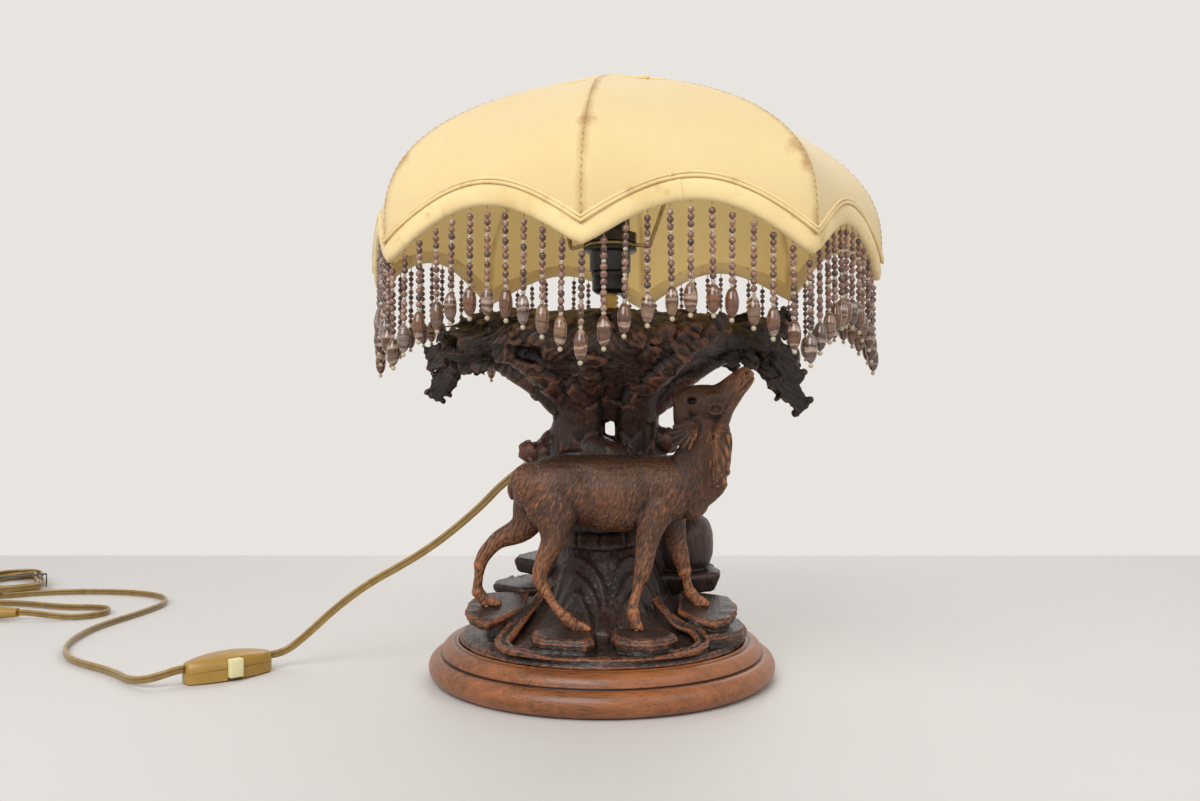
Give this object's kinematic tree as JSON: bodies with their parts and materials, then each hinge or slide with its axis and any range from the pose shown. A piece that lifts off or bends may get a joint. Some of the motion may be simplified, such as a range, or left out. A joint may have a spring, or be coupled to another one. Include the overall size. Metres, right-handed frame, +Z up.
{
  "type": "table lamp",
  "caption": "Carved wooden table lamp: a deer under a tree on a turned base, with a scalloped fabric shade, a bead fringe and a flex with an in-line switch and plug.",
  "frame": {"origin": "centre of the turned base's underside, on the table", "axes": "+Z up, -Y to the front that the deer's near side faces, +X to the deer's head"},
  "size_m": [0.876, 0.5957, 0.4203],
  "materials": {
    "base_wood": "satin",
    "dark_wood": "satin",
    "deer_wood": "satin",
    "leaf_wood": "satin",
    "dowel_wood": "plain",
    "brass": "satin",
    "steel": "zinc plated",
    "black_moulding": "satin",
    "insulator": "plain",
    "bush": "matte",
    "bulb_glass": "frosted",
    "frame_wire": "cream lacquer",
    "cream_cloth": "woven silk",
    "lining_cloth": "woven",
    "beads": "polished banded agate",
    "gold_flex": "satin",
    "gold_plastic": "satin",
    "ivory_plastic": "matte",
    "tie": "matte"
  },
  "bodies": {
    "stand": {"turned_base": "base_wood", "base_screws": "steel", "rocky_ground": "dark_wood", "trunk_dowels": "dowel_wood", "tree_trunk": "dark_wood", "crown_dowels": "dowel_wood", "tree_crown": "leaf_wood", "left_leaf_spray": "leaf_wood", "right_leaf_spray": "leaf_wood", "leaf_pegs": "dowel_wood", "deer": "deer_wood", "hoof_dowels": "dowel_wood", "threaded_pipe": "brass", "pipe_washer": "brass", "pipe_nut": "brass", "inner_flex": "gold_flex", "cord_bush": "bush", "holder_cap": "black_moulding", "holder_sleeve": "black_moulding", "holder_insert": "insulator", "screw_shell": "brass", "centre_contact": "brass", "terminal_screws": "brass", "cord_to_switch": "gold_flex", "switch_lower_half": "gold_plastic", "switch_upper_half": "gold_plastic", "switch_contacts": "brass", "switch_screw": "steel", "cord_to_hank": "gold_flex", "cord_hank": "gold_flex", "hank_tie": "tie", "cord_to_plug": "gold_flex", "plug_body": "gold_plastic", "plug_pins": "brass"},
    "clamp_ring": {"clamp_ring": "black_moulding"},
    "bulb": {"bulb_cap": "brass", "bulb_contact": "steel", "bulb_glass": "bulb_glass"},
    "shade": {"shade_fitter": "frame_wire", "shade_top_ring": "frame_wire", "shade_ribs": "frame_wire", "shade_rim_wire": "frame_wire", "shade_cover": "cream_cloth", "shade_lining": "lining_cloth", "shade_rim_band": "cream_cloth", "shade_piping": "cream_cloth", "shade_top_binding": "cream_cloth", "bead_fringe_1": "beads", "bead_fringe_2": "beads", "bead_fringe_3": "beads", "bead_fringe_4": "beads", "bead_fringe_5": "beads", "bead_fringe_6": "beads", "bead_fringe_7": "beads", "bead_fringe_8": "beads"},
    "switch_bar": {"switch_bar": "ivory_plastic"}
  },
  "joints": [
    {"name": "shade_turn", "type": "hinge", "parent": "stand", "child": "shade", "pos_m": [0.006, 0, 0.311], "axis": [0, 0, 1], "continuous": true},
    {"name": "clamp_ring_turn", "type": "hinge", "parent": "stand", "child": "clamp_ring", "pos_m": [0.006, 0, 0.316], "axis": [0, 0, 1], "range_deg": [0, 720]},
    {"name": "bulb_turn", "type": "hinge", "parent": "stand", "child": "bulb", "pos_m": [0.006, 0, 0.33], "axis": [0, 0, 1], "range_deg": [0, 1080]},
    {"name": "switch_press", "type": "slide", "parent": "stand", "child": "switch_bar", "axis": [-0.6691, 0.7431, 0], "range_m": [0, 0.007]}
  ]
}
